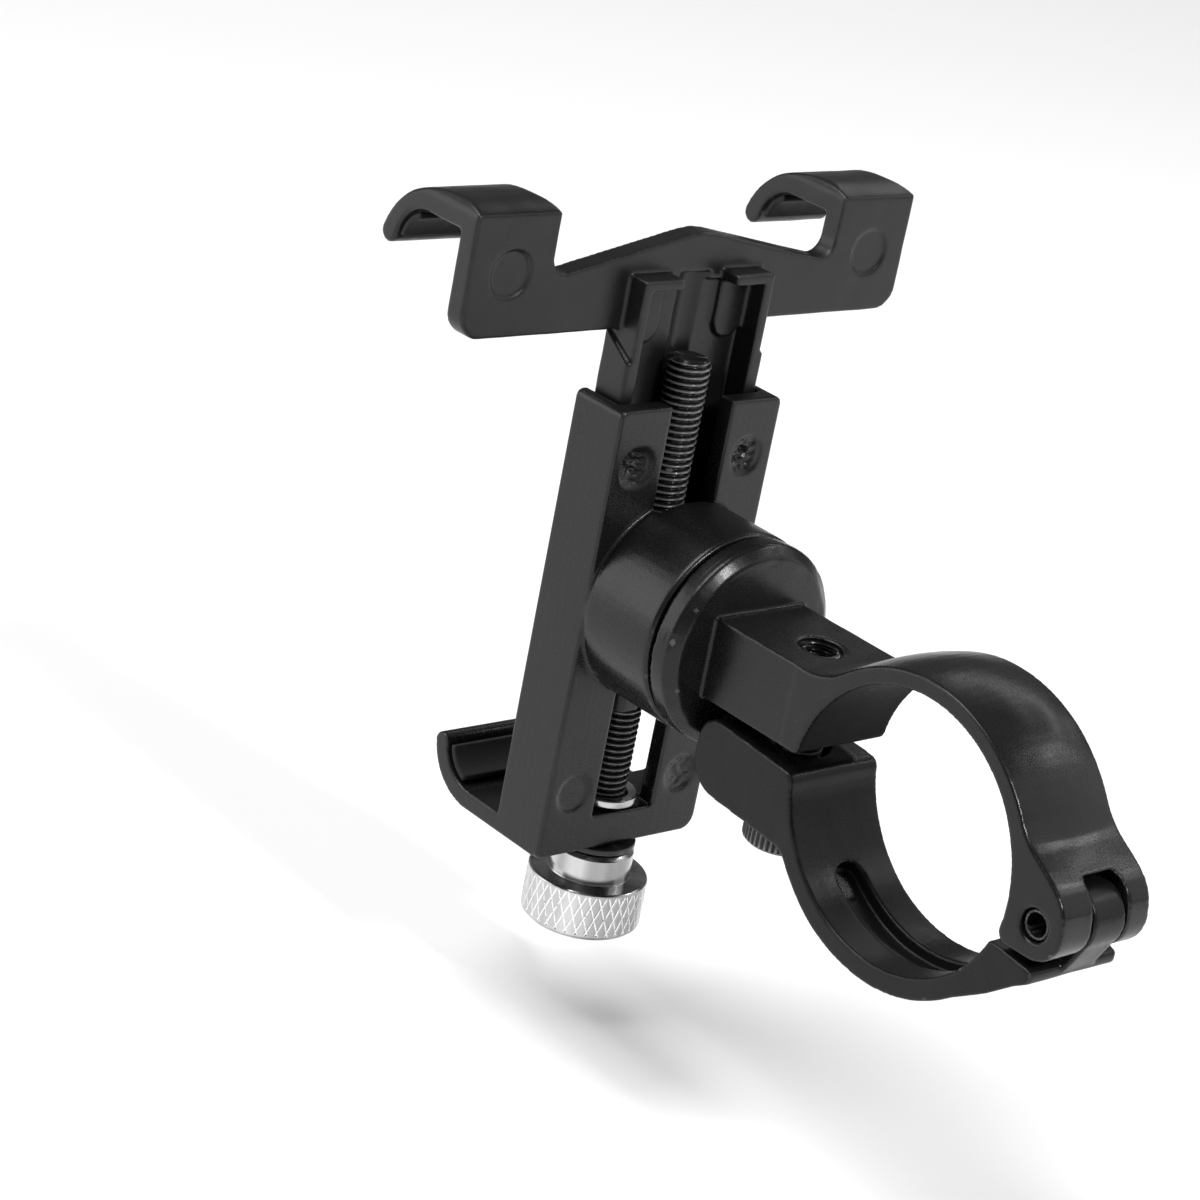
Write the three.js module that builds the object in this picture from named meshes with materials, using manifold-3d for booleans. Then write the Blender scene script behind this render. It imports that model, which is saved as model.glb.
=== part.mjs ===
// A phone mount for a bicycle handlebar: a hinged clamp ring for a 31.8 mm bar, a swivel, and a
// screw-driven cradle whose upper jaw slides to grip a phone lying across the bar.
//
// Units are millimetres. The origin is the centre of the handlebar bore, +X runs along the bar,
// +Y points from the bar towards the phone, and +Z is up.
import * as THREE from 'three';
import { mergeVertices } from 'three/addons/utils/BufferGeometryUtils.js';
import Module from 'manifold-3d';

// ---------------------------------------------------------------- driving dimensions
const gap = 0.3; // between pieces that touch on the real object
const thread = 2.5; // outer radius of the M5 screws
const threadHole = thread + gap;

const bar = { bore: 15.9, wall: 2.4, halfWidth: 6.65 };
bar.outer = bar.bore + bar.wall;

const hinge = { y: -19.9, z: -0.1, knuckle: 3.7, pin: 1.6, pinBore: 1.3, hole: 1.8 };
const fork = { low: -2.0, high: 3.4, depth: 5.1, side: gap, round: 1.4 };
const closedPast = 4; // degrees that the lower half stands closed beyond a fitted bar

const swivel = { z: 6.8, drum: 12.1, flange: 12.0 };
const drum = { back: 35.1, washerRecess: 8.2, recessDepth: 1.0, floor: 38.0, counterbore: 5.0 };
const flange = { back: 31.3, rim: 32.37, front: 34.56, backRadius: 10.7 };
const arm = { halfWidth: 6.6, bottom: 2.05, top: 11.4, fillet: 8 };
const clampBolt = { y: 21.4, head: 4.25, headHeight: 4.8, top: 11.0, headTop: -7.3 };

const frame = { halfWidth: 12, back: 46, front: 54, bottom: -24.4, top: 30 };
const channel = { halfWidth: 10.5, back: 48.3, floor: -20, slot: 4.5 };
const screw = { y: 49.6, top: 34.4, bottom: -33.2, groove: 2.9 };
const knob = { neck: 4.9, neckTop: -25.7, grip: 7.1, gripTop: -29.3, bottom: -35.4 };

const slider = { halfWidth: 10.2, neckHalfWidth: 9.65, pocket: 8.4, back: 48.6, front: 53.2 };
const plate = { halfWidth: 32.4, bottom: 37.5, back: 51.3, front: 54.0, valley: 43.85, peak: 48.3 };
const hook = { inner: 21.0, y: 59.6, z: 44.4, lip: 4.6, capHeight: 0.7 };
// The hooks' tops: radii behind and before their highest point, and of the nose past the bend.
const crown = { y: 55.3, z: 52.1, back: 10, front: 20, nose: 9.3, bend: 76.4 };
const lowerHook = { y: 59.6, z: -17.3, outer: 7.1, lip: 4.9, capDrop: 1.0 };
const padThickness = 0.7;

// ---------------------------------------------------------------- materials
const black = { color: 0x17181a, metalness: 0.35 };
const materials = {
  cast: new THREE.MeshStandardMaterial({ ...black, roughness: 0.5 }),
  blackSteel: new THREE.MeshStandardMaterial({ color: 0x101113, roughness: 0.32, metalness: 0.8 }),
  silver: new THREE.MeshStandardMaterial({ color: 0xd0d2d6, roughness: 0.18, metalness: 1 }),
  rubber: new THREE.MeshStandardMaterial({ color: 0x0c0c0d, roughness: 0.9, metalness: 0 }),
};

// ---------------------------------------------------------------- outlines
const radians = THREE.MathUtils.degToRad;
const degrees = THREE.MathUtils.radToDeg;

/** Points [u, v] along an arc about (u, v), from one angle in degrees to another. */
function arc(u, v, radius, from, to, step = 5) {
  const count = Math.max(1, Math.ceil(Math.abs(to - from) / step));
  return Array.from({ length: count + 1 }, (_, i) => {
    const angle = radians(from + ((to - from) * i) / count);
    return [u + radius * Math.cos(angle), v + radius * Math.sin(angle)];
  });
}

/** The arc that rounds the corner at here, between its neighbours, by a radius. */
function corner(before, here, after, radius) {
  const back = new THREE.Vector2(before[0] - here[0], before[1] - here[1]).normalize();
  const on = new THREE.Vector2(after[0] - here[0], after[1] - here[1]).normalize();
  const half = Math.acos(back.dot(on)) / 2;
  const middle = back.clone().add(on).setLength(radius / Math.sin(half));
  const start = back.clone().multiplyScalar(radius / Math.tan(half)).sub(middle);
  const sweep = Math.sign(on.x * back.y - on.y * back.x) * (Math.PI - 2 * half);
  const from = degrees(start.angle());
  const to = from + degrees(sweep);
  return arc(here[0] + middle.x, here[1] + middle.y, radius, from, to, 15);
}

/** A closed shape through corners [u, v, radius], where a corner without a radius is sharp. */
function outline(corners) {
  const points = corners.flatMap((here, i) => {
    const before = corners.at(i - 1);
    const after = corners[(i + 1) % corners.length];
    return here[2] ? corner(before, here, after, here[2]) : [here];
  });
  return new THREE.Shape(points.map(([u, v]) => new THREE.Vector2(u, v)));
}

const mirrored = (points) => points.map(([u, ...rest]) => [-u, ...rest]).reverse();

// ---------------------------------------------------------------- solids
const wasm = await Module();
wasm.setup();

/** A closed three.js geometry as a solid that can be joined and cut. */
function solid(geometry) {
  geometry.deleteAttribute('normal');
  geometry.deleteAttribute('uv');
  const merged = mergeVertices(geometry, 1e-4);
  const index = merged.index.array;
  const triangles = [];
  for (let i = 0; i < index.length; i += 3) {
    const [a, b, c] = index.slice(i, i + 3);
    if (a !== b && b !== c && c !== a) triangles.push(a, b, c);
  }
  return new wasm.Manifold(new wasm.Mesh({
    numProp: 3,
    vertProperties: merged.attributes.position.array,
    triVerts: new Uint32Array(triangles),
  }));
}

/** A box between two corners. */
function box([x0, y0, z0], [x1, y1, z1]) {
  const geometry = new THREE.BoxGeometry(x1 - x0, y1 - y0, z1 - z0);
  return solid(geometry.translate((x0 + x1) / 2, (y0 + y1) / 2, (z0 + z1) / 2));
}

/** A (y, z) outline swept along X. */
function alongX(shape, x0, x1) {
  const geometry = new THREE.ExtrudeGeometry(shape, { depth: x1 - x0, bevelEnabled: false });
  const cycle = new THREE.Matrix4().set(0, 0, 1, x0, 1, 0, 0, 0, 0, 1, 0, 0, 0, 0, 0, 1);
  return solid(geometry.applyMatrix4(cycle));
}

/** An (x, z) outline swept along Y. */
function alongY(shape, y0, y1) {
  const geometry = new THREE.ExtrudeGeometry(shape, { depth: y1 - y0, bevelEnabled: false });
  return solid(geometry.rotateX(Math.PI / 2).translate(0, y1, 0));
}

/** A profile [radius, y], counter-clockwise from the axis, turned about a line along Y. */
function turned(profile, z, sides = 72) {
  const points = profile.map(([radius, y]) => new THREE.Vector2(radius, y));
  return solid(new THREE.LatheGeometry(points, sides).translate(0, 0, z));
}

const cylinder = (radius, low, high, sides) =>
  new THREE.CylinderGeometry(radius, radius, high - low, sides).translate(0, (low + high) / 2, 0);

function rodX(radius, x0, x1, y, z, sides = 48) {
  return solid(cylinder(radius, x0, x1, sides).rotateZ(-Math.PI / 2).translate(0, y, z));
}

function rodY(radius, y0, y1, z, sides = 48) {
  return solid(cylinder(radius, y0, y1, sides).translate(0, 0, z));
}

function rodZ(radius, z0, z1, y, sides = 48) {
  return solid(cylinder(radius, z0, z1, sides).rotateX(Math.PI / 2).translate(0, y, 0));
}

/** A profile [radius, z], counter-clockwise from the axis, turned about a vertical line. */
function turnedZ(profile, y, sides = 48) {
  const points = profile.map(([radius, z]) => new THREE.Vector2(radius, z));
  const geometry = new THREE.LatheGeometry(points, sides);
  return solid(geometry.rotateX(Math.PI / 2).rotateZ(Math.PI).translate(0, y, 0));
}

const join = (...solids) => solids.reduce((whole, next) => whole.add(next));
const cut = (whole, ...tools) => tools.reduce((left, tool) => left.subtract(tool), whole);

/** A named mesh of one solid. */
function piece(name, whole, material) {
  const made = whole.getMesh();
  const geometry = new THREE.BufferGeometry();
  geometry.setAttribute('position', new THREE.BufferAttribute(made.vertProperties, 3));
  geometry.setIndex(new THREE.BufferAttribute(made.triVerts, 1));
  const mesh = new THREE.Mesh(geometry, material);
  mesh.name = name;
  return mesh;
}

// ---------------------------------------------------------------- bar clamp, upper half
/** Side outline of the upper half: arm, fillet, ring and hinge ear. */
function upperClampOutline() {
  const filletZ = arm.top + arm.fillet;
  const filletY = Math.sqrt((bar.outer + arm.fillet) ** 2 - filletZ ** 2);
  const ringStart = degrees(Math.atan2(filletZ, filletY));
  const boreEnd = degrees(Math.asin(arm.bottom / bar.bore));
  const boreCorner = [Math.sqrt(bar.bore ** 2 - arm.bottom ** 2), arm.bottom, 0.8];
  return outline([
    [flange.rim, arm.bottom],
    [flange.rim, arm.top],
    ...arc(filletY, filletZ, arm.fillet, -90, ringStart - 180),
    ...arc(0, 0, bar.outer, ringStart, 150, 4),
    [-17.2, 7.4, 6],
    [-23.2, 3.4, 5],
    ...arc(hinge.y, hinge.z, hinge.knuckle, 172, 272, 10),
    [-16.3, -3.8, 0.8],
    ...arc(0, 0, bar.bore, 190, boreEnd + 5, 4),
    boreCorner,
  ]);
}

/** The slot that parts the upper half's two ears round the lower half's tongue. */
function forkSlot() {
  const { y, z } = hinge;
  const { low, high, depth, round } = fork;
  const profile = [
    [0, low], [depth, low], ...arc(depth - round, high - round, round, 0, 90, 15), [0, high],
  ];
  const points = profile.map(([radius, x]) => new THREE.Vector2(radius, x));
  const wheel = new THREE.LatheGeometry(points, 72).rotateZ(-Math.PI / 2).translate(0, y, z);
  return join(solid(wheel), box([low, y - 5, z - 6], [high, y + depth, z]));
}

function upperClamp() {
  const side = alongX(upperClampOutline(), -bar.halfWidth, bar.halfWidth);
  const disc = turned([
    [0, flange.back],
    [flange.backRadius, flange.back],
    [swivel.flange, flange.rim],
    [swivel.flange, flange.front],
    [0, flange.front],
  ], swivel.z);
  const armTrim = bar.halfWidth - arm.halfWidth;
  const trims = [-1, 1].map((sign) => box(
    [sign > 0 ? arm.halfWidth : -arm.halfWidth - armTrim - 1, arm.bottom - 1, arm.bottom - 1],
    [sign > 0 ? arm.halfWidth + armTrim + 1 : -arm.halfWidth, flange.rim + 1, arm.top + 1],
  ).translate([0, bar.outer - 1, 0]));
  return cut(
    join(cut(side, ...trims), disc),
    forkSlot(),
    rodX(hinge.hole, -10, 10, hinge.y, hinge.z, 32),
    rodY(threadHole, 25.6, flange.front + 1, swivel.z, 32),
    rodZ(threadHole, 0, arm.top + 1, clampBolt.y, 32),
  );
}

/** The hollow roll pin that the lower half swings on. */
function hingePin() {
  const length = bar.halfWidth - 0.45;
  return cut(
    rodX(hinge.pin, -length, length, hinge.y, hinge.z, 32),
    rodX(hinge.pinBore, -10, 10, hinge.y, hinge.z, 24),
  );
}

// ---------------------------------------------------------------- bar clamp, lower half
const ear = { top: -2.8, bottom: -11.3, front: 30.04, hole: 3.2, holeY: 21.2, fillet: 2.5 };
const counterbore = { radius: 5.1, y: 21.15, floor: -8.3 };
const groove = { halfWidth: 2, depth: 1.5, from: -55, to: -122 };

/** Side outline of the lower half as it sits on a fitted bar: hinge seat, ring and bolt ear. */
function lowerClampOutline() {
  const filletZ = ear.bottom - ear.fillet;
  const filletY = Math.sqrt((bar.outer + ear.fillet) ** 2 - filletZ ** 2);
  const ringEnd = 360 + degrees(Math.atan2(filletZ, filletY));
  const boreCorner = [Math.sqrt(bar.bore ** 2 - ear.top ** 2), ear.top, 1.2];
  return outline([
    [-16.3, -4.6],
    ...arc(0, 0, bar.bore, 197, 343, 4),
    boreCorner,
    [ear.front, ear.top, 2.4],
    [ear.front, ear.bottom, 4],
    ...arc(filletY, filletZ, ear.fillet, 90, ringEnd - 180, 10),
    ...arc(0, 0, bar.outer, ringEnd, 226, 4),
    [-16.6, -10.3, 3],
    [-19.5, -7.6, 3],
    [-21.4, -6.2, 0.6],
    [-21.4, -5.1, 0.4],
    [-20.7, -4.8],
  ]);
}

/** The tongue between the two ears, rising round the pin. */
function tongue() {
  const low = fork.low + fork.side;
  const high = fork.high - fork.side;
  const stalk = outline([[-23.4, -1.2], [-21.5, -5.6], [-16.4, -5.6], [-16.25, -0.1]]);
  return join(rodX(hinge.knuckle, low, high, hinge.y, hinge.z), alongX(stalk, low, high));
}

/** The drain groove milled along the inside of the ring, with round ends. */
function boreGroove() {
  const { halfWidth, depth, from, to } = groove;
  const floor = bar.bore + depth;
  const inner = bar.bore - 2;
  const path = outline([...arc(0, 0, floor, from, to), ...arc(0, 0, inner, to, from)]);
  const ends = [from, to].map((angle) => {
    const end = cylinder(halfWidth, inner, floor, 24).rotateX(radians(angle));
    return solid(end);
  });
  return join(alongX(path, -halfWidth, halfWidth), ...ends);
}

function lowerClamp() {
  return cut(
    join(alongX(lowerClampOutline(), -bar.halfWidth, bar.halfWidth), tongue()),
    rodX(hinge.hole, -10, 10, hinge.y, hinge.z, 32),
    rodZ(ear.hole, -13, 0, ear.holeY, 32),
    rodZ(counterbore.radius, ear.bottom - 1, counterbore.floor, counterbore.y),
    boreGroove(),
  );
}

/** A cap screw standing on end: head at the bottom, its top face at headTop. */
function clampBoltSolid() {
  const { y, head, headHeight, headTop, top } = clampBolt;
  const bottom = headTop - headHeight;
  const socket = { radius: 2.3, depth: 2.6 };
  return cut(
    turnedZ([
      [0, bottom], [head - 0.4, bottom], [head, bottom + 0.4], [head, headTop],
      [thread, headTop], [thread, top - 0.5], [thread - 0.5, top], [0, top],
    ], y),
    rodZ(socket.radius, bottom - 1, bottom + socket.depth, y, 6),
  );
}

// ---------------------------------------------------------------- swivel hardware
function ring(outer, inner, y0, y1) {
  return cut(rodY(outer, y0, y1, swivel.z), rodY(inner, y0 - 1, y1 + 1, swivel.z, 32));
}

/** The cap screw that holds the cradle to the clamp and lets it turn. */
function swivelBolt() {
  const head = { radius: 4.25, back: 40.9, front: 45.7, socket: 2.3, depth: 2.6 };
  return cut(
    turned([
      [0, 26], [thread - 0.5, 26], [thread, 26.5], [thread, head.back], [head.radius, head.back],
      [head.radius, head.front - 0.4], [head.radius - 0.4, head.front], [0, head.front],
    ], swivel.z, 48),
    rodY(head.socket, head.front - head.depth, head.front + 1, swivel.z, 6),
  );
}

// ---------------------------------------------------------------- cradle frame
/** Side outline of the fixed lower jaw: a floor that curls up round the phone's edge. */
function lowerJawOutline() {
  const { y, z, outer, lip, capDrop } = lowerHook;
  const start = degrees(Math.asin(-capDrop / outer));
  const middle = (outer + lip) / 2;
  const cap = (outer - lip) / 2;
  const tipY = y + Math.sqrt(middle ** 2 - capDrop ** 2);
  return outline([
    [frame.back + 1, frame.bottom],
    ...arc(y, z, outer, -90, start),
    ...arc(tipY, z - capDrop, cap, 10, 170, 20),
    ...arc(y, z, lip, start - 2, -90, 6),
    [frame.back + 1, z - lip],
  ]);
}

/** The drum that turns on the clamp's flange, hollow for the swivel bolt's head. */
function drumSolid() {
  const { back } = drum;
  return turned([
    [0, back], [swivel.drum - 0.3, back], [swivel.drum, back + 0.3],
    [swivel.drum, frame.back - 0.4], [swivel.drum - 0.5, frame.back + 0.3],
    [swivel.drum - 0.5, frame.back + 1], [0, frame.back + 1],
  ], swivel.z);
}

function baseFrame() {
  const { halfWidth, back, front, bottom, top } = frame;
  const body = alongY(outline([
    [-halfWidth, bottom, 0.5], [halfWidth, bottom, 1.8],
    [halfWidth, top, 0.8], [-halfWidth, top, 0.8],
  ]), back, front);
  const jaw = alongX(lowerJawOutline(), -halfWidth, halfWidth);
  return cut(
    join(body, drumSolid(), jaw),
    box([-channel.halfWidth, channel.back, channel.floor], [channel.halfWidth, front + 1, top + 1]),
    box([-channel.slot, back - 1, channel.floor - 0.2], [channel.slot, back + 3, swivel.z - 11]),
    box([-channel.slot, back - 1, swivel.z + 11], [channel.slot, back + 3, top + 1]),
    rodY(drum.counterbore, drum.floor, channel.back + 1, swivel.z),
    box([-channel.slot, back - 0.5, swivel.z - 12], [channel.slot, back + 3, swivel.z + 12]),
    rodY(threadHole, drum.back - 1, drum.floor + 1, swivel.z, 32),
    rodY(drum.washerRecess, drum.back - 1, drum.back + drum.recessDepth, swivel.z),
    rodZ(threadHole, bottom - 1, channel.floor + 1, screw.y, 32),
  );
}

// ---------------------------------------------------------------- upper jaw
/** Front outline of the cross plate with its two hooks and the low peak between them. */
function platedOutline() {
  const right = [
    [plate.halfWidth, plate.bottom, 2.8],
    [plate.halfWidth, crown.z, 1.3],
    [hook.inner, crown.z, 1.2],
    [hook.inner, plate.valley, 2.0],
  ];
  return outline([...right, [0, plate.peak, 8], ...mirrored(right)]);
}

/** The crowned top of the hooks in side view, from the lip's end back to the plate. */
function crownPoints() {
  const { y, z, back, front, nose, bend } = crown;
  const noseY = y + (front - nose) * Math.cos(radians(bend));
  const noseZ = z - front + (front - nose) * Math.sin(radians(bend));
  const tip = degrees(Math.asin((hook.z + hook.capHeight - noseZ) / nose));
  const edge = 90 + degrees(Math.asin((y - plate.back) / back));
  return [
    ...arc(noseY, noseZ, nose, tip, bend),
    ...arc(y, z - front, front, bend, 90).slice(1),
    ...arc(y, z - back, back, 90, edge).slice(1),
  ];
}

/** Side outline of one hook that curls over the phone's edge. */
function hookOutline() {
  const { y, z, lip, capHeight } = hook;
  const top = crownPoints();
  const [tipY, tipZ] = top[0];
  const innerY = y + Math.sqrt(lip ** 2 - capHeight ** 2);
  const end = degrees(Math.asin(capHeight / lip));
  return outline([
    [plate.back, z + lip - 3],
    [plate.front, z + lip - 3],
    [plate.front, z + lip],
    ...arc(y, z, lip, 90, end + 4, 6),
    ...arc((tipY + innerY) / 2, tipZ, (tipY - innerY) / 2, 190, 350, 20),
    ...top,
  ]);
}

/** The cross plate, no higher than the hooks' crowned tops. */
function crossPlate(face) {
  const top = crownPoints();
  const [frontY] = top[0];
  const under = outline([[plate.back - 1, 0], [frontY, 0], ...top, [plate.back - 1, top.at(-1)[1]]]);
  const whole = alongY(face, plate.back, plate.front);
  return whole.intersect(alongX(under, -plate.halfWidth - 1, plate.halfWidth + 1));
}

/** The slider's lower end: a block threaded for the lead screw, with a rib behind the screw. */
function nutBlock() {
  const [bottom, top] = [-7.6, 2.0];
  const rib = rodZ(3.9, bottom, top, screw.y);
  const ribLimit = box([-4, slider.back - 2, bottom], [4, slider.front, top]);
  const block = box([-slider.halfWidth, slider.back, bottom], [slider.halfWidth, slider.front, top]);
  return join(block, rib.intersect(ribLimit));
}

/** A low round-ended pad inside the slider, beside the screw. */
function sliderPad(x) {
  const [low, high] = [37.8, 43];
  const radius = 2.1;
  const pad = outline([...arc(x, low, radius, 180, 360, 15), [x + radius, high], [x - radius, high]]);
  return alongY(pad, slider.front - 2.1, slider.front - 1);
}

function upperJaw() {
  const top = 43.8;
  const shoulder = { back: 34.4, front: 37.2 };
  const { halfWidth, neckHalfWidth, pocket, back, front } = slider;
  const face = platedOutline();
  const hooks = join(
    alongX(hookOutline(), -plate.halfWidth, -hook.inner),
    alongX(hookOutline(), hook.inner, plate.halfWidth),
  ).intersect(alongY(face, plate.back, 70));
  const wide = outline([[back, 0], [front, 0], [front, shoulder.front], [back, shoulder.back]]);
  const stem = join(
    alongX(wide, -halfWidth, halfWidth),
    box([-neckHalfWidth, back, shoulder.back - 1], [neckHalfWidth, front, top]),
  );
  const web = front - 1.3;
  const opening = box([-3.9, back - 1, 40], [3.9, plate.back, top + 1]);
  const cavity = box([-pocket, back - 1, 1], [pocket, web, top - 1.2]);
  return cut(
    join(cut(join(stem, crossPlate(face)), cavity, opening),
      hooks, nutBlock(), sliderPad(-6.2), sliderPad(6.2)),
    rodZ(screw.groove, -10, top - 0.2, screw.y, 32),
  );
}

/** A thin rubber strip inside a hook's lip, between two angles in degrees. */
function lipPad({ y, z, lip }, from, to, x0, x1) {
  const outer = lip - gap;
  const inner = outer - padThickness;
  const shape = outline([...arc(y, z, outer, from, to), ...arc(y, z, inner, to, from)]);
  return alongX(shape, x0, x1);
}

// ---------------------------------------------------------------- lead screw and knob
function leadScrew() {
  const { y, top, bottom } = screw;
  return turnedZ([
    [0, bottom], [thread, bottom], [thread, top - 0.5], [thread - 0.6, top], [0, top],
  ], y, 32);
}

function screwWasher(outer, bottom, top) {
  return cut(rodZ(outer, bottom, top, screw.y), rodZ(threadHole, bottom - 1, top + 1, screw.y, 32));
}

function knobSolid() {
  const { neck, neckTop, grip, gripTop, bottom } = knob;
  const chamfer = 0.5;
  const edge = 0.2;
  const body = turnedZ([
    [0, bottom], [grip - chamfer, bottom], [grip, bottom + chamfer], [grip, gripTop - edge],
    [grip - edge, gripTop], [neck, gripTop], [neck, neckTop - chamfer],
    [neck - chamfer, neckTop], [0, neckTop],
  ], screw.y);
  return cut(body, rodZ(threadHole, screw.bottom - gap, neckTop + 1, screw.y, 32));
}

// ---------------------------------------------------------------- assembly
/** The lower half, swung about the hinge pin to the closed position. */
function lowerClampGroup() {
  const swung = new THREE.Group();
  swung.position.set(0, hinge.y, hinge.z);
  swung.rotation.x = radians(closedPast);
  const lower = piece('lower_clamp', lowerClamp(), materials.cast);
  lower.position.set(0, -hinge.y, -hinge.z);
  swung.add(lower);
  return swung;
}

function clampGroup() {
  const group = new THREE.Group();
  const washer = cut(
    rodZ(4.4, -7.0, -6.1, clampBolt.y),
    rodZ(threadHole, -8, -5, clampBolt.y, 32),
  );
  group.add(
    piece('upper_clamp', upperClamp(), materials.cast),
    piece('hinge_pin', hingePin(), materials.blackSteel),
    lowerClampGroup(),
    piece('clamp_bolt_washer', washer, materials.blackSteel),
    piece('clamp_bolt', clampBoltSolid(), materials.blackSteel),
  );
  return group;
}

function swivelGroup() {
  const group = new THREE.Group();
  group.add(
    piece('friction_washer', ring(7.8, 2.9, 34.86, 35.8), materials.rubber),
    piece('swivel_washer', ring(4.7, 2.8, 38.3, 39.3), materials.blackSteel),
    piece('swivel_spring_washer', ring(4.4, 2.8, 39.6, 40.6), materials.blackSteel),
    piece('swivel_bolt', swivelBolt(), materials.blackSteel),
  );
  return group;
}

function cradleGroup() {
  const group = new THREE.Group();
  const inset = 0.3;
  const edge = frame.halfWidth - inset;
  const padEnds = [hook.inner + inset, plate.halfWidth - inset];
  const [near, far] = padEnds;
  group.add(
    piece('base_frame', baseFrame(), materials.cast),
    piece('lower_pad', lipPad(lowerHook, -70, -12, -edge, edge), materials.rubber),
    piece('upper_jaw', upperJaw(), materials.cast),
    piece('upper_pad_left', lipPad(hook, 10, 70, -far, -near), materials.rubber),
    piece('upper_pad_right', lipPad(hook, 10, 70, near, far), materials.rubber),
  );
  return group;
}

function screwGroup() {
  const group = new THREE.Group();
  group.add(
    piece('lead_screw', leadScrew(), materials.blackSteel),
    piece('retaining_collar', screwWasher(3.9, -19.7, -18.8), materials.silver),
    piece('knob_washer', screwWasher(4.8, -25.4, -24.7), materials.blackSteel),
    piece('knob', knobSolid(), materials.silver),
  );
  return group;
}

const phoneMount = new THREE.Group();
phoneMount.add(clampGroup(), swivelGroup(), cradleGroup(), screwGroup());
export default phoneMount;
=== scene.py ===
import math

import bmesh
import bpy
from mathutils import Matrix, Vector, noise


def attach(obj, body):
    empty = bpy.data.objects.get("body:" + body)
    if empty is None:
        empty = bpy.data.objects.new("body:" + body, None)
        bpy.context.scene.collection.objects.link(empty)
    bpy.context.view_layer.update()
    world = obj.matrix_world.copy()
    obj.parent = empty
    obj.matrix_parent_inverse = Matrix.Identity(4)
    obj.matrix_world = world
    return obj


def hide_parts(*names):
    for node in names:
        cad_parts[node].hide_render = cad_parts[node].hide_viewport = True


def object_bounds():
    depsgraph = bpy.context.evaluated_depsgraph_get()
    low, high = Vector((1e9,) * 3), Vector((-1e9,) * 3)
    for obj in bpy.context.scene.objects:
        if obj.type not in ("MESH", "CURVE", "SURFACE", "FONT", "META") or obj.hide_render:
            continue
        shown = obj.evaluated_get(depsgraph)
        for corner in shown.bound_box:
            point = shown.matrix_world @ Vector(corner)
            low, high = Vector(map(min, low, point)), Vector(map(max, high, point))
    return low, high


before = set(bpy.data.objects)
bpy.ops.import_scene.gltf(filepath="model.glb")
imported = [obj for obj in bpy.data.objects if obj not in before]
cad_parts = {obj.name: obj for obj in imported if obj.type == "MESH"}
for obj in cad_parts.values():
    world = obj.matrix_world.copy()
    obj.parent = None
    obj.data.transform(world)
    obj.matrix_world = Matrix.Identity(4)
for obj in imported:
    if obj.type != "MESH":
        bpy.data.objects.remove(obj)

# A handlebar phone mount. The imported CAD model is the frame: each visible piece here is a finished
# copy of a CAD node, or a turned piece built on that node's box. Shapes are made in millimetres and
# scaled to metres at the end, and every piece stays in the CAD model's own place.

CAD_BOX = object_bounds()
MM = 0.001
TAU = 2 * math.pi
NOISE_SEED = 7

# noise_vector draws its offsets from the clock unless a seed is set.
noise.seed_set(NOISE_SEED)

# ------------------------------------------------------------------ camera, light and floor
CAMERA_PLACE = (-0.2551, -0.2058, 0.1440)
CAMERA_TURN = (68.43, -10.30, -40.18)
CAMERA_LENS = 102.2
FLOOR_DROP = 0.012
FLOOR_HALF = 3.0
LIGHT_TARGET = (0, 0.02, 0.01)
OVERHEAD = 2.7
SURROUND = 0.14


def add_camera():
    data = bpy.data.cameras.new("camera")
    data.lens = CAMERA_LENS
    data.sensor_width = 36
    data.clip_start = 0.01
    camera = bpy.data.objects.new("camera", data)
    camera.location = CAMERA_PLACE
    camera.rotation_euler = [math.radians(a) for a in CAMERA_TURN]
    bpy.context.scene.collection.objects.link(camera)
    bpy.context.scene.camera = camera


def add_area(name, place, size, radiance):
    """A soft rectangular light that faces the object, by its own brightness."""
    data = bpy.data.lights.new(name, "AREA")
    data.shape = "RECTANGLE"
    data.size, data.size_y = size
    data.energy = radiance * math.pi * size[0] * size[1]
    light = bpy.data.objects.new(name, data)
    light.location = place
    aim = Vector(LIGHT_TARGET) - Vector(place)
    light.rotation_euler = aim.to_track_quat("-Z", "Y").to_euler()
    bpy.context.scene.collection.objects.link(light)


def add_sun(name, strength, spread, tilt):
    data = bpy.data.lights.new(name, "SUN")
    data.energy = strength
    data.angle = math.radians(spread)
    light = bpy.data.objects.new(name, data)
    light.rotation_euler = [math.radians(a) for a in tilt]
    bpy.context.scene.collection.objects.link(light)


def add_lights():
    add_sun("overhead", OVERHEAD, 40, (-16, -22, 0))
    add_area("left_box", (-0.45, 0.42, 0.18), (0.40, 0.40), 2.6)
    add_area("rear_box", (0.03, -0.53, 0.47), (0.11, 0.11), 85.0)
    add_area("right_box", (0.47, -0.28, 0.24), (0.45, 0.45), 0.9)
    add_area("right_spot", (0.45, -0.17, 0.39), (0.06, 0.06), 14.0)
    add_area("right_strip", (0.46, 0.16, 0.36), (0.46, 0.05), 3.5)
    world = bpy.data.worlds.new("studio")
    world.use_nodes = True
    background = world.node_tree.nodes["Background"]
    background.inputs["Color"].default_value = (1, 1, 1, 1)
    background.inputs["Strength"].default_value = SURROUND
    bpy.context.scene.world = world


def add_floor():
    low, _ = CAD_BOX
    mesh = bpy.data.meshes.new("floor")
    height = low[2] - FLOOR_DROP
    signs = ((-1, -1), (1, -1), (1, 1), (-1, 1))
    corners = [(FLOOR_HALF * x, FLOOR_HALF * y, height) for x, y in signs]
    mesh.from_pydata(corners, [], [(0, 1, 2, 3)])
    floor = bpy.data.objects.new("floor", mesh)
    bpy.context.scene.collection.objects.link(floor)
    mesh.materials.append(floor_material().material)


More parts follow.
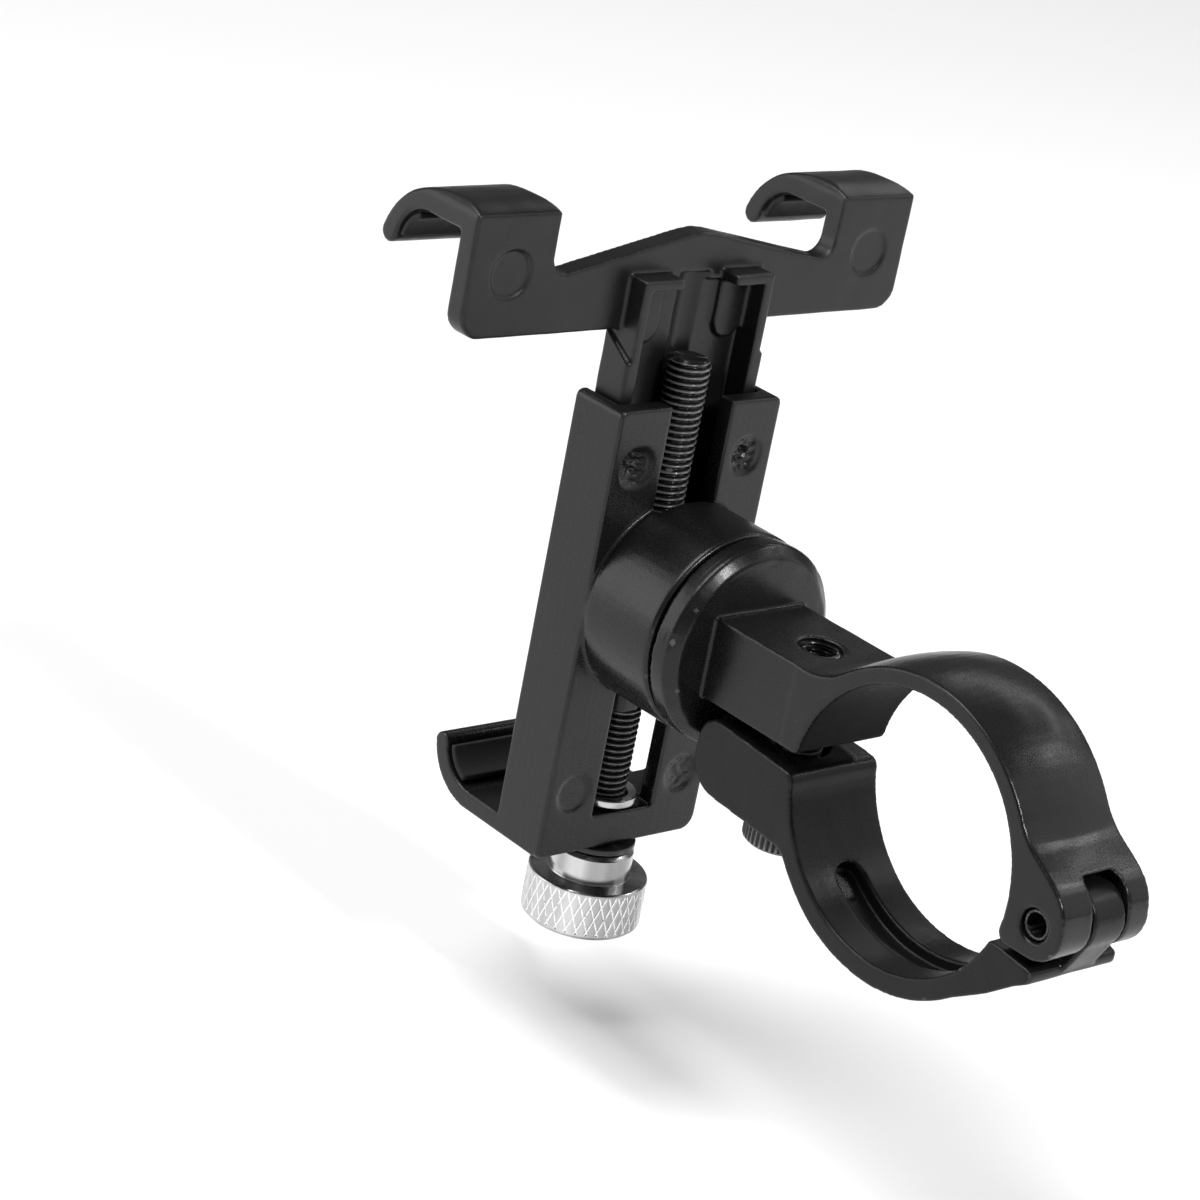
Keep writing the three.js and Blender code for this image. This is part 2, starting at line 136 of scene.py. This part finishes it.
# ------------------------------------------------------------------ materials
class Look:
    """A material's node tree, with short calls for the nodes used here."""

    def __init__(self, name):
        self.material = bpy.data.materials.new(name)
        self.material.use_nodes = True
        self.tree = self.material.node_tree
        self.shader = self.tree.nodes["Principled BSDF"]
        self.place = self.node("ShaderNodeTexCoord").outputs["Object"]

    def node(self, kind, **settings):
        made = self.tree.nodes.new(kind)
        for key, value in settings.items():
            setattr(made, key, value)
        return made

    def link(self, source, target):
        self.tree.links.new(source, target)

    def set(self, **values):
        for key, value in values.items():
            self.shader.inputs[key.replace("_", " ")].default_value = value

    def stretched(self, scale):
        mapping = self.node("ShaderNodeMapping")
        mapping.inputs["Scale"].default_value = scale
        self.link(self.place, mapping.inputs["Vector"])
        return mapping.outputs["Vector"]

    def noise(self, scale, detail=3.0, place=None):
        made = self.node("ShaderNodeTexNoise")
        made.inputs["Scale"].default_value = scale
        made.inputs["Detail"].default_value = detail
        self.link(place or self.place, made.inputs["Vector"])
        return made.outputs["Fac"]

    def spread(self, source, low, high, to_low, to_high):
        made = self.node("ShaderNodeMapRange")
        ends = {"From Min": low, "From Max": high, "To Min": to_low, "To Max": to_high}
        for key, value in ends.items():
            made.inputs[key].default_value = value
        self.link(source, made.inputs["Value"])
        return made.outputs["Result"]

    def math(self, operation, a, b):
        made = self.node("ShaderNodeMath", operation=operation)
        for socket, value in zip(made.inputs, (a, b)):
            if isinstance(value, (int, float)):
                socket.default_value = value
            else:
                self.link(value, socket)
        return made.outputs["Value"]

    def mixed(self, share, a, b):
        made = self.node("ShaderNodeMix", data_type="RGBA")
        self.link(share, made.inputs["Factor"])
        for key, value in (("A", a), ("B", b)):
            socket = [s for s in made.inputs if s.name == key and s.type == "RGBA"][0]
            if isinstance(value, tuple):
                socket.default_value = (*value, 1)
            else:
                self.link(value, socket)
        return [s for s in made.outputs if s.type == "RGBA"][0]

    def bump(self, height, strength, distance):
        made = self.node("ShaderNodeBump")
        made.inputs["Strength"].default_value = strength
        made.inputs["Distance"].default_value = distance
        self.link(height, made.inputs["Height"])
        before = self.shader.inputs["Normal"]
        if before.is_linked:
            self.link(before.links[0].from_socket, made.inputs["Normal"])
        self.link(made.outputs["Normal"], before)

    def edges(self, low, high):
        """From 0 at one pointiness to 1 at another: over 0.5 is an outer edge, under it a groove."""
        return self.spread(self.node("ShaderNodeNewGeometry").outputs["Pointiness"], low, high, 0, 1)


def cast_black(name, rough=0.33, tone=0.006, edge_wear_and_highlight=0.07, gloss=0.33, grain=0.35):
    """Black-anodised cast aluminium: satin, finely grained, its edges painted brighter, partly as rubbed
    wear and partly as painted edge highlights.
    """
    look = Look(name)
    cloud = look.noise(110, 4)
    fine = look.noise(5200, 2)
    patches = look.spread(look.noise(500, 4), 0.42, 0.66, 0, 1)
    # Pale convex edges in patches: partly rubbed wear, partly painted edge highlights.
    edge = look.math("MULTIPLY", look.edges(0.53, 0.565), patches)
    speck = look.spread(look.noise(2600, 2), 0.70, 0.78, 0, 0.35)
    base = look.mixed(look.spread(cloud, 0.3, 0.7, 0, 1), (tone * 0.85,) * 3, (tone * 1.2,) * 3)
    dusty = look.mixed(speck, base, (tone * 5,) * 3)
    look.link(look.mixed(edge, dusty, (edge_wear_and_highlight,) * 3), look.shader.inputs["Base Color"])
    roughness = look.math("ADD", look.spread(cloud, 0.3, 0.7, rough - 0.05, rough + 0.06),
                          look.spread(fine, 0.3, 0.7, -0.03, 0.05))
    look.link(roughness, look.shader.inputs["Roughness"])
    look.set(Specular_IOR_Level=gloss)
    look.bump(fine, grain, 0.00003)
    look.bump(look.noise(900, 3), grain * 0.5, 0.00004)
    return look


def milled_black(name):
    """The cradle frame's black finish, with the long streaks of rough milling."""
    look = cast_black(name, rough=0.27, grain=0.45)
    streak_and_reflection_band = look.noise(1.0, 4, look.stretched((1500, 1500, 140)))
    look.bump(streak_and_reflection_band, 0.3, 0.00006)
    return look


def black_oxide(name, rough=0.24, tone=0.010, edge_wear_and_highlight=0.10):
    """Oiled black-oxide steel, as on screws and washers."""
    look = Look(name)
    cloud = look.noise(400, 4)
    base = look.mixed(cloud, (tone * 0.7,) * 3, (tone * 1.5,) * 3)
    # Edges and thread crests painted paler: partly rubbed wear, partly painted glints.
    rubbed = look.mixed(look.edges(0.515, 0.56), base, (edge_wear_and_highlight,) * 3)
    look.link(rubbed, look.shader.inputs["Base Color"])
    roughness = look.spread(cloud, 0.3, 0.7, rough - 0.06, rough + 0.1)
    look.link(roughness, look.shader.inputs["Roughness"])
    look.set(Metallic=0.25, Specular_IOR_Level=0.4)
    look.bump(look.noise(4500, 2), 0.3, 0.00002)
    return look


def bright_metal(name, rough=0.18, tone=0.66):
    """Turned bright aluminium with faint rings from the lathe tool, painted reflection bands down its
    side and painted highlights in its cut lines.
    """
    look = Look(name)
    rings = look.noise(1.0, 3, look.stretched((60, 60, 9000)))
    cloud = look.noise(500, 4)
    # Upright bands of darker colour: a painted reflection of the surroundings on the turned side.
    streak_and_reflection_band = look.spread(look.noise(1.0, 1, look.stretched((260, 260, 0))), 0.38, 0.62, 0, 1)
    pale = look.mixed(cloud, (tone * 0.85,) * 3, (tone, tone, tone * 1.01))
    colour = look.mixed(streak_and_reflection_band, (tone * 0.5,) * 3, pale)
    # The knurl's cut lines painted near white: a painted highlight where the grooves catch the light.
    lit_cut_lines = look.mixed(look.edges(0.494, 0.475), colour, (0.95, 0.95, 0.95))
    look.link(lit_cut_lines, look.shader.inputs["Base Color"])
    roughness = look.spread(rings, 0.3, 0.7, rough - 0.05, rough + 0.1)
    look.link(roughness, look.shader.inputs["Roughness"])
    look.set(Metallic=1.0)
    look.bump(rings, 0.15, 0.00002)
    return look


def rubber(name):
    look = Look(name)
    cloud = look.noise(600, 4)
    look.link(look.mixed(cloud, (0.010,) * 3, (0.022,) * 3), look.shader.inputs["Base Color"])
    look.link(look.spread(cloud, 0.3, 0.7, 0.72, 0.9), look.shader.inputs["Roughness"])
    look.set(Specular_IOR_Level=0.3)
    look.bump(look.noise(3000, 3), 0.5, 0.00005)
    return look


def floor_material():
    look = Look("floor_paper")
    cloud = look.noise(3, 2)
    look.link(look.mixed(cloud, (0.86,) * 3, (0.88,) * 3), look.shader.inputs["Base Color"])
    look.set(Roughness=0.9)
    return look


# ------------------------------------------------------------------ mesh tools
def add_object(name, mesh):
    made = bpy.data.objects.new(name, mesh)
    bpy.context.scene.collection.objects.link(made)
    return made


def merge_vertices(mesh, distance):
    work = bmesh.new()
    work.from_mesh(mesh)
    bmesh.ops.remove_doubles(work, verts=work.verts, dist=distance)
    work.to_mesh(mesh)
    work.free()


def cad_copy(node, name):
    """A copy of a CAD node's mesh in millimetres, with its vertices merged."""
    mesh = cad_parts[node].data.copy()
    mesh.materials.clear()
    mesh.transform(Matrix.Scale(1 / MM, 4))
    merge_vertices(mesh, 0.001)
    return add_object(name, mesh)


def apply_modifiers(obj):
    depsgraph = bpy.context.evaluated_depsgraph_get()
    mesh = bpy.data.meshes.new_from_object(obj.evaluated_get(depsgraph))
    obj.modifiers.clear()
    obj.data = mesh
    return obj


def cut_away(obj, tool):
    """Cuts tool's shape out of obj, and removes tool."""
    step = obj.modifiers.new("cut", "BOOLEAN")
    step.operation = "DIFFERENCE"
    step.solver = "EXACT"
    step.object = tool
    apply_modifiers(obj)
    bpy.data.objects.remove(tool)
    return obj


def soften(obj, voxel=0.193, passes=9):
    """Rounds a solid's edges slightly, as casting and finishing leave them."""
    step = obj.modifiers.new("remesh", "REMESH")
    step.mode = "VOXEL"
    step.voxel_size = voxel
    smooth = obj.modifiers.new("smooth", "SMOOTH")
    smooth.factor = 0.5
    smooth.iterations = passes
    return apply_modifiers(obj)


def rod(radius, start, end, sides=48):
    """A cylinder between two points, as a cutting tool."""
    start, end = Vector(start), Vector(end)
    work = bmesh.new()
    bmesh.ops.create_cone(work, cap_ends=True, segments=sides, radius1=radius, radius2=radius,
                          depth=(end - start).length)
    mesh = bpy.data.meshes.new("tool")
    turn = (end - start).to_track_quat("Z", "Y").to_matrix().to_4x4()
    bmesh.ops.transform(work, matrix=Matrix.Translation((start + end) / 2) @ turn, verts=work.verts)
    work.to_mesh(mesh)
    work.free()
    return add_object("tool", mesh)


def turned(name, profile, columns, centre, relief=None):
    """A profile of (radius, height) points turned about a vertical line, from axis to axis.

    relief gives each point's radius from its own radius, height and angle.
    """
    x, y = centre
    rows = []
    vertices = []
    for radius, height in profile:
        if radius == 0:
            rows.append([len(vertices)] * columns)
            vertices.append((x, y, height))
            continue
        rows.append(list(range(len(vertices), len(vertices) + columns)))
        for column in range(columns):
            angle = TAU * column / columns
            reach = relief(radius, height, angle) if relief else radius
            vertices.append((x + reach * math.cos(angle), y + reach * math.sin(angle), height))
    faces = []
    for low, high in zip(rows, rows[1:]):
        for column in range(columns):
            after = (column + 1) % columns
            corners = [low[column], low[after], high[after], high[column]]
            face = list(dict.fromkeys(corners))
            if len(face) > 2:
                faces.append(face)
    mesh = bpy.data.meshes.new(name)
    mesh.from_pydata(vertices, [], faces)
    return add_object(name, mesh)


def rounded(points, radius=0.15, steps=3):
    """The profile with each inner corner replaced by a short curve."""
    out = [points[0]]
    for before, here, after in zip(points, points[1:], points[2:]):
        here, before, after = Vector(here), Vector(before), Vector(after)
        reach = min(radius, (before - here).length / 2, (after - here).length / 2)
        start = here + (before - here).normalized() * reach
        end = here + (after - here).normalized() * reach
        for step in range(steps + 1):
            t = step / steps
            out.append(tuple((1 - t) ** 2 * start + 2 * t * (1 - t) * here + t * t * end))
    return [*out, points[-1]]


def filled(points, low, high, step):
    """The profile with extra points wherever it runs upright between two heights."""
    out = [points[0]]
    for before, here in zip(points, points[1:]):
        inside = min(before[1], here[1]) >= low - 1e-6 and max(before[1], here[1]) <= high + 1e-6
        count = math.ceil(abs(here[1] - before[1]) / step) if inside else 1
        for index in range(1, count + 1):
            t = index / count
            out.append((before[0] + (here[0] - before[0]) * t, before[1] + (here[1] - before[1]) * t))
    return out


def dull_bore(obj):
    """Leaves the wall of the bar's bore as cast, duller than the outside."""
    obj.data.materials.append(cast_black(obj.name + "_bore", rough=0.55, gloss=0.05).material)
    for polygon in obj.data.polygons:
        _, y, z = polygon.center / MM
        reach = math.hypot(y, z)
        inward = polygon.normal.dot(Vector((0, y, z))) < -0.7 * reach
        polygon.material_index = 1 if inward and reach < RING_BORE + 0.3 else 0
    return obj


def finish(obj, node, body, look, smooth_angle=None):
    """Scales a piece to metres, paints it and puts it on its body in place of its CAD node."""
    obj.data.transform(Matrix.Scale(MM, 4))
    obj.data.materials.clear()
    obj.data.materials.append(look.material)
    obj.data.shade_smooth()
    if smooth_angle:
        obj.data.set_sharp_from_angle(angle=math.radians(smooth_angle))
    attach(obj, body)
    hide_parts(node)
    return obj


# ------------------------------------------------------------------ threads and knurls
SCREW_CENTRE = (0, 49.6)
BOLT_CENTRE = (0, 21.4)
PITCH = 0.8
THREAD_RADIUS = 2.5
THREAD_DEPTH = 0.49
THREAD_STEP = PITCH / 9
KNURL_LEAN = 0.38


def thread_relief(radius, height, angle):
    """An M5 thread's radius: flat crests and roots with straight flanks between."""
    turn = (height / PITCH - angle / TAU) % 1
    away = abs(turn - 0.5) * 2
    rise = min(1.0, max(0.0, (away - 0.2) / 0.6))
    return radius - THREAD_DEPTH * (1 - rise)


def diamond_relief(radius, height, angle, low, high, count=36, depth=0.13):
    """Two crossing families of thin steep cut lines round a turned grip."""
    around = count * angle / TAU
    along = height * KNURL_LEAN * count / (TAU * radius)
    fade = min(1.0, (height - low) / 0.4, (high - height) / 0.4)
    cut = 0
    for phase in (around + along, around - along):
        away = abs(phase % 1 - 0.5) * 2
        cut = max(cut, (away - 0.72) / 0.28)
    return radius - depth * max(0.0, cut) * max(0.0, fade)


def groove_relief(radius, angle, count=40, depth=0.16):
    """Straight cut grooves along a screw's head."""
    away = abs((count * angle / TAU) % 1 - 0.5) * 2
    return radius - depth * max(0.0, (away - 0.4) / 0.6)


# ------------------------------------------------------------------ cast pieces
BACK_PITS = (
    # x, z, radius, depth
    (-8.9, 23.2, 1.9, 0.5),
    (7.9, 23.4, 1.9, 0.45),
    (8.3, -16.5, 2.0, 0.25),
)
EJECTOR_STEP = 0.25
FRAME_BACK = 46.0
PLATE_BACK = 51.3
FLANGE_Z = 6.8
HOLE_THREAD_LOW = 4
HOLE_THREAD_DEPTH = 0.35
RING_WIDTH = 6.65
RING_BORE = 15.9
RING_CROWN = 0.55
BOLT_HOLE = 2.8


def ejector_mark(obj, x, z, radius, face):
    """A shallow round mark that an ejector pin leaves in a casting, in a face that looks along -Y."""
    return cut_away(obj, rod(radius, (x, face - 1, z), (x, face + EJECTOR_STEP, z)))


def sculpt(obj, move):
    """Moves each vertex by what move(place) returns."""
    for vertex in obj.data.vertices:
        vertex.co += move(vertex.co)
    return obj


def pitted(centre, radius, depth):
    """A rough pit in a face that looks along -Y: move() for sculpt."""
    x, y, z = centre

    def move(place):
        away = math.hypot(place.x - x, (place.z - z) * 0.8) / radius
        if abs(place.y - y) > 0.5 or away > 1:
            return Vector()
        ridge = noise.noise(Vector((place.x * 1.1 + place.z * 0.5, 0, place.z * 1.9)))
        return Vector((0, depth * (1 - away ** 2) * (1 + 1.2 * ridge), 0))

    return move


def cast_unevenness(place):
    """The slight waviness of a hand-finished casting."""
    return noise.noise_vector(place * 0.35) * 0.035


def make_base_frame():
    obj = cad_copy("base_frame", "base_frame_finished")
    for sign in (-1, 1):
        ejector_mark(obj, sign * 8.2, -16.6, 2.4, FRAME_BACK)
        ejector_mark(obj, sign * 8.2, 23.2, 2.3, FRAME_BACK)
    soften(obj)
    for x, z, radius, depth in BACK_PITS:
        sculpt(obj, pitted((x, FRAME_BACK, z), radius, depth))
    return finish(obj, "base_frame", "cradle", milled_black("milled_black"))


def make_upper_jaw():
    obj = cad_copy("upper_jaw", "upper_jaw_finished")
    for sign in (-1, 1):
        ejector_mark(obj, sign * 26.7, 44.6, 2.75, PLATE_BACK)
    soften(obj)
    sculpt(obj, cast_unevenness)
    return finish(obj, "upper_jaw", "upper_jaw", cast_black("cast_black"))


def crowned_ring(place):
    """The ring's outer face falls away a little towards its two rims."""
    radius = math.hypot(place.y, place.z)
    angle = math.degrees(math.atan2(place.z, place.y))
    if radius < RING_BORE + 0.6 or abs(place.x) > RING_WIDTH + 0.1:
        return Vector()
    depth = min(1, (radius - RING_BORE - 0.6) / 1.8)
    window = max(0.0, 1 - ((angle - 98) / 66) ** 4)
    drop = RING_CROWN * (place.x / RING_WIDTH) ** 2 * window * depth
    return Vector((0, -place.y, -place.z)) * (drop / radius)


def rough_bevel(place):
    """The hammered unevenness of the bevel round the flange's back."""
    reach = math.hypot(place.x, place.z - FLANGE_Z)
    if not (30.9 < place.y < 33.2 and reach > 9.8):
        return Vector()
    dent = min(0.0, noise.noise(place * 0.4 + Vector((0, 9, 0))) * 0.12)
    outward = Vector((place.x, 0, place.z - FLANGE_Z)) / reach
    return (outward * 0.5 + Vector((0, -1, 0))) * dent


def threaded_hole(place):
    """The rough thread on the wall of the hole through the arm."""
    x, y = BOLT_CENTRE
    away = Vector((place.x - x, place.y - y, 0))
    if away.length > BOLT_HOLE + 0.25 or place.z < HOLE_THREAD_LOW:
        return Vector()
    turn = (place.z / PITCH - math.atan2(away.y, away.x) / TAU) % 1
    return -away.normalized() * HOLE_THREAD_DEPTH * abs(turn - 0.5) * 2


def make_upper_clamp():
    obj = soften(cad_copy("upper_clamp", "upper_clamp_finished"))
    for move in (crowned_ring, rough_bevel, threaded_hole, cast_unevenness):
        sculpt(obj, move)
    look = cast_black("upper_clamp_black", rough=0.25, gloss=0.29, grain=0.2)
    return dull_bore(finish(obj, "upper_clamp", "handlebar_clamp", look))


def make_lower_clamp():
    obj = sculpt(soften(cad_copy("lower_clamp", "lower_clamp_finished")), cast_unevenness)
    look = cast_black("lower_clamp_black", rough=0.30, gloss=0.20)
    return finish(obj, "lower_clamp", "lower_clamp", look)


# ------------------------------------------------------------------ screws, knob and washers
SCREW_HOLE = 2.8
HEX_SOCKET = 2.3
HEX_DEPTH = 2.6
KNOB_COLUMNS = 442
WASHERS = (
    # node, outer radius, bottom, top, centre, body, slot
    ("retaining_collar", 3.9, -19.7, -18.8, SCREW_CENTRE, "screw", "silver"),
    ("knob_washer", 4.8, -25.4, -24.7, SCREW_CENTRE, "screw", "black_steel"),
    ("clamp_bolt_washer", 4.4, -7.0, -6.1, BOLT_CENTRE, "clamp_bolt_travel", "black_steel"),
)


def make_lead_screw():
    bottom, top, outer = -33.2, 34.4, THREAD_RADIUS
    corners = [(0, bottom), (outer, bottom), (outer, top - 0.5), (outer - 0.6, top), (0, top)]
    profile = rounded(corners, 0.1)
    profile = filled(profile, bottom, top, THREAD_STEP)

    def relief(radius, height, angle):
        return min(radius, thread_relief(THREAD_RADIUS, height, angle))

    obj = turned("lead_screw_finished", profile, 48, SCREW_CENTRE, relief)
    # The last value paints the thread crests paler: rubbed wear with a painted glint.
    return finish(obj, "lead_screw", "screw", black_oxide("screw_black", edge_wear_and_highlight=0.16), 50)


def make_knob():
    grip, neck, bore = 7.1, 4.9, SCREW_HOLE
    bottom, bore_end, grip_top, top = -35.4, -33.5, -29.3, -25.7
    knurl_low, knurl_high = bottom + 0.5, grip_top - 0.2
    profile = rounded([
        (0, bottom), (grip - 0.5, bottom), (grip, knurl_low), (grip, knurl_high), (grip - 0.2, grip_top),
        (neck + 0.1, grip_top), (neck, grip_top + 0.1), (neck, top - 0.45), (neck - 0.45, top),
        (bore, top), (bore, bore_end), (0, bore_end),
    ], 0.08)
    profile = filled(profile, knurl_low, knurl_high, 0.1)

    def relief(radius, height, angle):
        inside = knurl_low < height < knurl_high and radius > grip - 0.05
        return diamond_relief(radius, height, angle, knurl_low, knurl_high) if inside else radius

    obj = turned("knob_finished", profile, KNOB_COLUMNS, SCREW_CENTRE, relief)
    return finish(obj, "knob", "screw", bright_metal("turned_aluminium"), 40)


def washer_profile(outer, inner, bottom, top):
    edge = min(0.15, (top - bottom) / 4)
    middle = (bottom + top) / 2
    start = (inner, middle)
    return rounded([start, (inner, bottom), (outer, bottom), (outer, top), (inner, top), start], edge)


def make_washer(node, outer, inner, bottom, top, centre, body, material):
    obj = turned(node + "_finished", washer_profile(outer, inner, bottom, top), 96, centre)
    merge_vertices(obj.data, 0.0001)
    return finish(obj, node, body, material, 40)


def make_clamp_bolt():
    head, bottom, under, top, shank = 4.25, -12.1, -7.3, 11.0, THREAD_RADIUS
    profile = rounded([
        (0, bottom), (head - 0.5, bottom), (head, bottom + 0.5), (head, under), (shank + 0.2, under),
        (shank, under + 0.3), (shank, top - 0.5), (shank - 0.6, top), (0, top),
    ])
    profile = filled(profile, under + 0.4, top, THREAD_STEP)
    profile = filled(profile, bottom + 0.6, under, 0.4)

    def relief(radius, height, angle):
        if height > under + 0.3:
            return min(radius, thread_relief(THREAD_RADIUS, height, angle))
        return groove_relief(radius, angle) if radius > head - 0.1 else radius

    obj = turned("clamp_bolt_finished", profile, 160, BOLT_CENTRE, relief)
    x, y = BOLT_CENTRE
    cut_away(obj, rod(HEX_SOCKET, (x, y, bottom - 1), (x, y, bottom + HEX_DEPTH), 6))
    # The last value paints the thread crests and head grooves paler: rubbed wear with a painted glint.
    return finish(obj, "clamp_bolt", "clamp_bolt", black_oxide("bolt_black", edge_wear_and_highlight=0.3), 40)


def make_pads():
    material = rubber("pad_rubber")
    bodies = {"lower_pad": "cradle", "upper_pad_left": "upper_jaw", "upper_pad_right": "upper_jaw"}
    for node, body in bodies.items():
        obj = soften(cad_copy(node, node + "_finished"), 0.15, 3)
        finish(obj, node, body, material)


def make_hinge_pin():
    obj = soften(cad_copy("hinge_pin", "hinge_pin_finished"), 0.1, 3)
    return finish(obj, "hinge_pin", "handlebar_clamp", black_oxide("pin_black", 0.34))


def paint(node, look):
    """A better material on a CAD node that stays as it is."""
    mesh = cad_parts[node].data
    mesh.materials.clear()
    mesh.materials.append(look.material)


def make_small_parts():
    looks = {
        "silver": bright_metal("collar_aluminium", 0.2, 0.7),
        "black_steel": black_oxide("washer_black", 0.38),
    }
    for node, outer, bottom, top, centre, body, slot in WASHERS:
        make_washer(node, outer, SCREW_HOLE, bottom, top, centre, body, looks[slot])
    paint("friction_washer", rubber("washer_rubber"))
    for node in ("swivel_washer", "swivel_spring_washer", "swivel_bolt"):
        paint(node, black_oxide(node + "_black", 0.3))


# ------------------------------------------------------------------ the scene
def use_plain_tones():
    bpy.context.scene.view_settings.view_transform = "Standard"


add_camera()
add_lights()
add_floor()
use_plain_tones()
make_base_frame()
make_upper_jaw()
make_upper_clamp()
make_lower_clamp()
make_lead_screw()
make_knob()
make_clamp_bolt()
make_pads()
make_hinge_pin()
make_small_parts()
